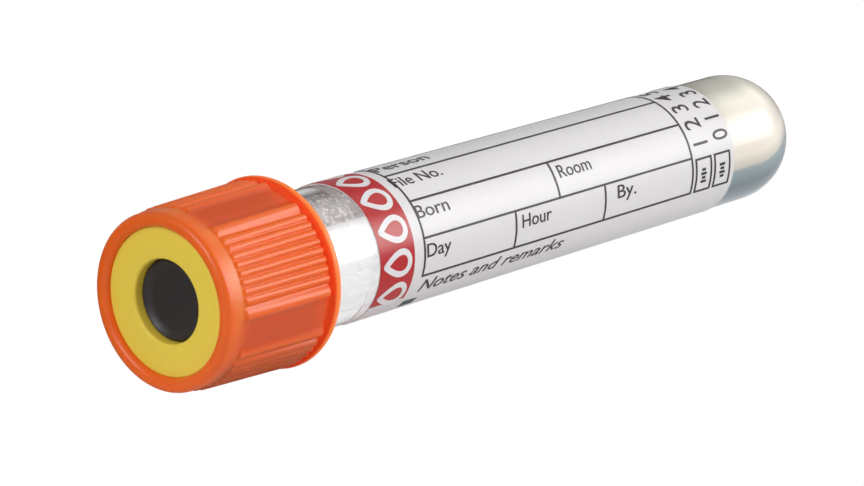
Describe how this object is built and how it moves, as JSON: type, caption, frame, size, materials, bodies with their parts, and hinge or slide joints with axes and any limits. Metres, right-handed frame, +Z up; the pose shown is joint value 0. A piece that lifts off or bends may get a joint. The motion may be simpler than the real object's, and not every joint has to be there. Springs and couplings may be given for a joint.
{
  "type": "blood collection tube",
  "caption": "Round-bottomed clear sample tube with separator gel and wrapped label, closed by a rubber stopper in a ridged twist-off cap.",
  "frame": {"origin": "on the surface that the tube lies on, below the middle of its bounding box", "axes": "+X from the cap towards the round end, +Z up; the tube lies on its cap's rear bead and its round end, so its axis dips 2.57 degrees towards +X"},
  "size_m": [0.082, 0.0174, 0.0175],
  "materials": {
    "clear_plastic": "clear, gloss, lightly misted inside near the mouth",
    "cap_plastic": "moulded, satin",
    "ring_plastic": "moulded, satin",
    "rubber": "smooth, low sheen",
    "gel": "soft, milky, translucent",
    "label_film": "satin film",
    "red_ink": "printed, satin",
    "dark_ink": "printed, satin"
  },
  "bodies": {
    "tube_body": {"tube": "clear_plastic", "separator_gel": "gel", "label": "label_film", "label_red_band": "red_ink", "label_ruled_form": "dark_ink"},
    "stopper_body": {"stopper": "rubber"},
    "cap_body": {"screw_cap": "cap_plastic", "safety_ring": "ring_plastic"}
  },
  "joints": [
    {"name": "stopper_pull", "type": "slide", "parent": "tube_body", "child": "stopper_body", "axis": [-0.999, 0, 0.0448], "range_m": [0, 0.018]},
    {"name": "cap_twist", "type": "hinge", "parent": "stopper_body", "child": "cap_body", "pos_m": [-0.03366, 0, 0.00898], "axis": [-0.999, 0, 0.0448], "range_deg": [0, 1080]}
  ],
  "couplings": [
    {"joint": "stopper_pull", "follows": "cap_twist", "m_per_rad": 0.00095493}
  ]
}
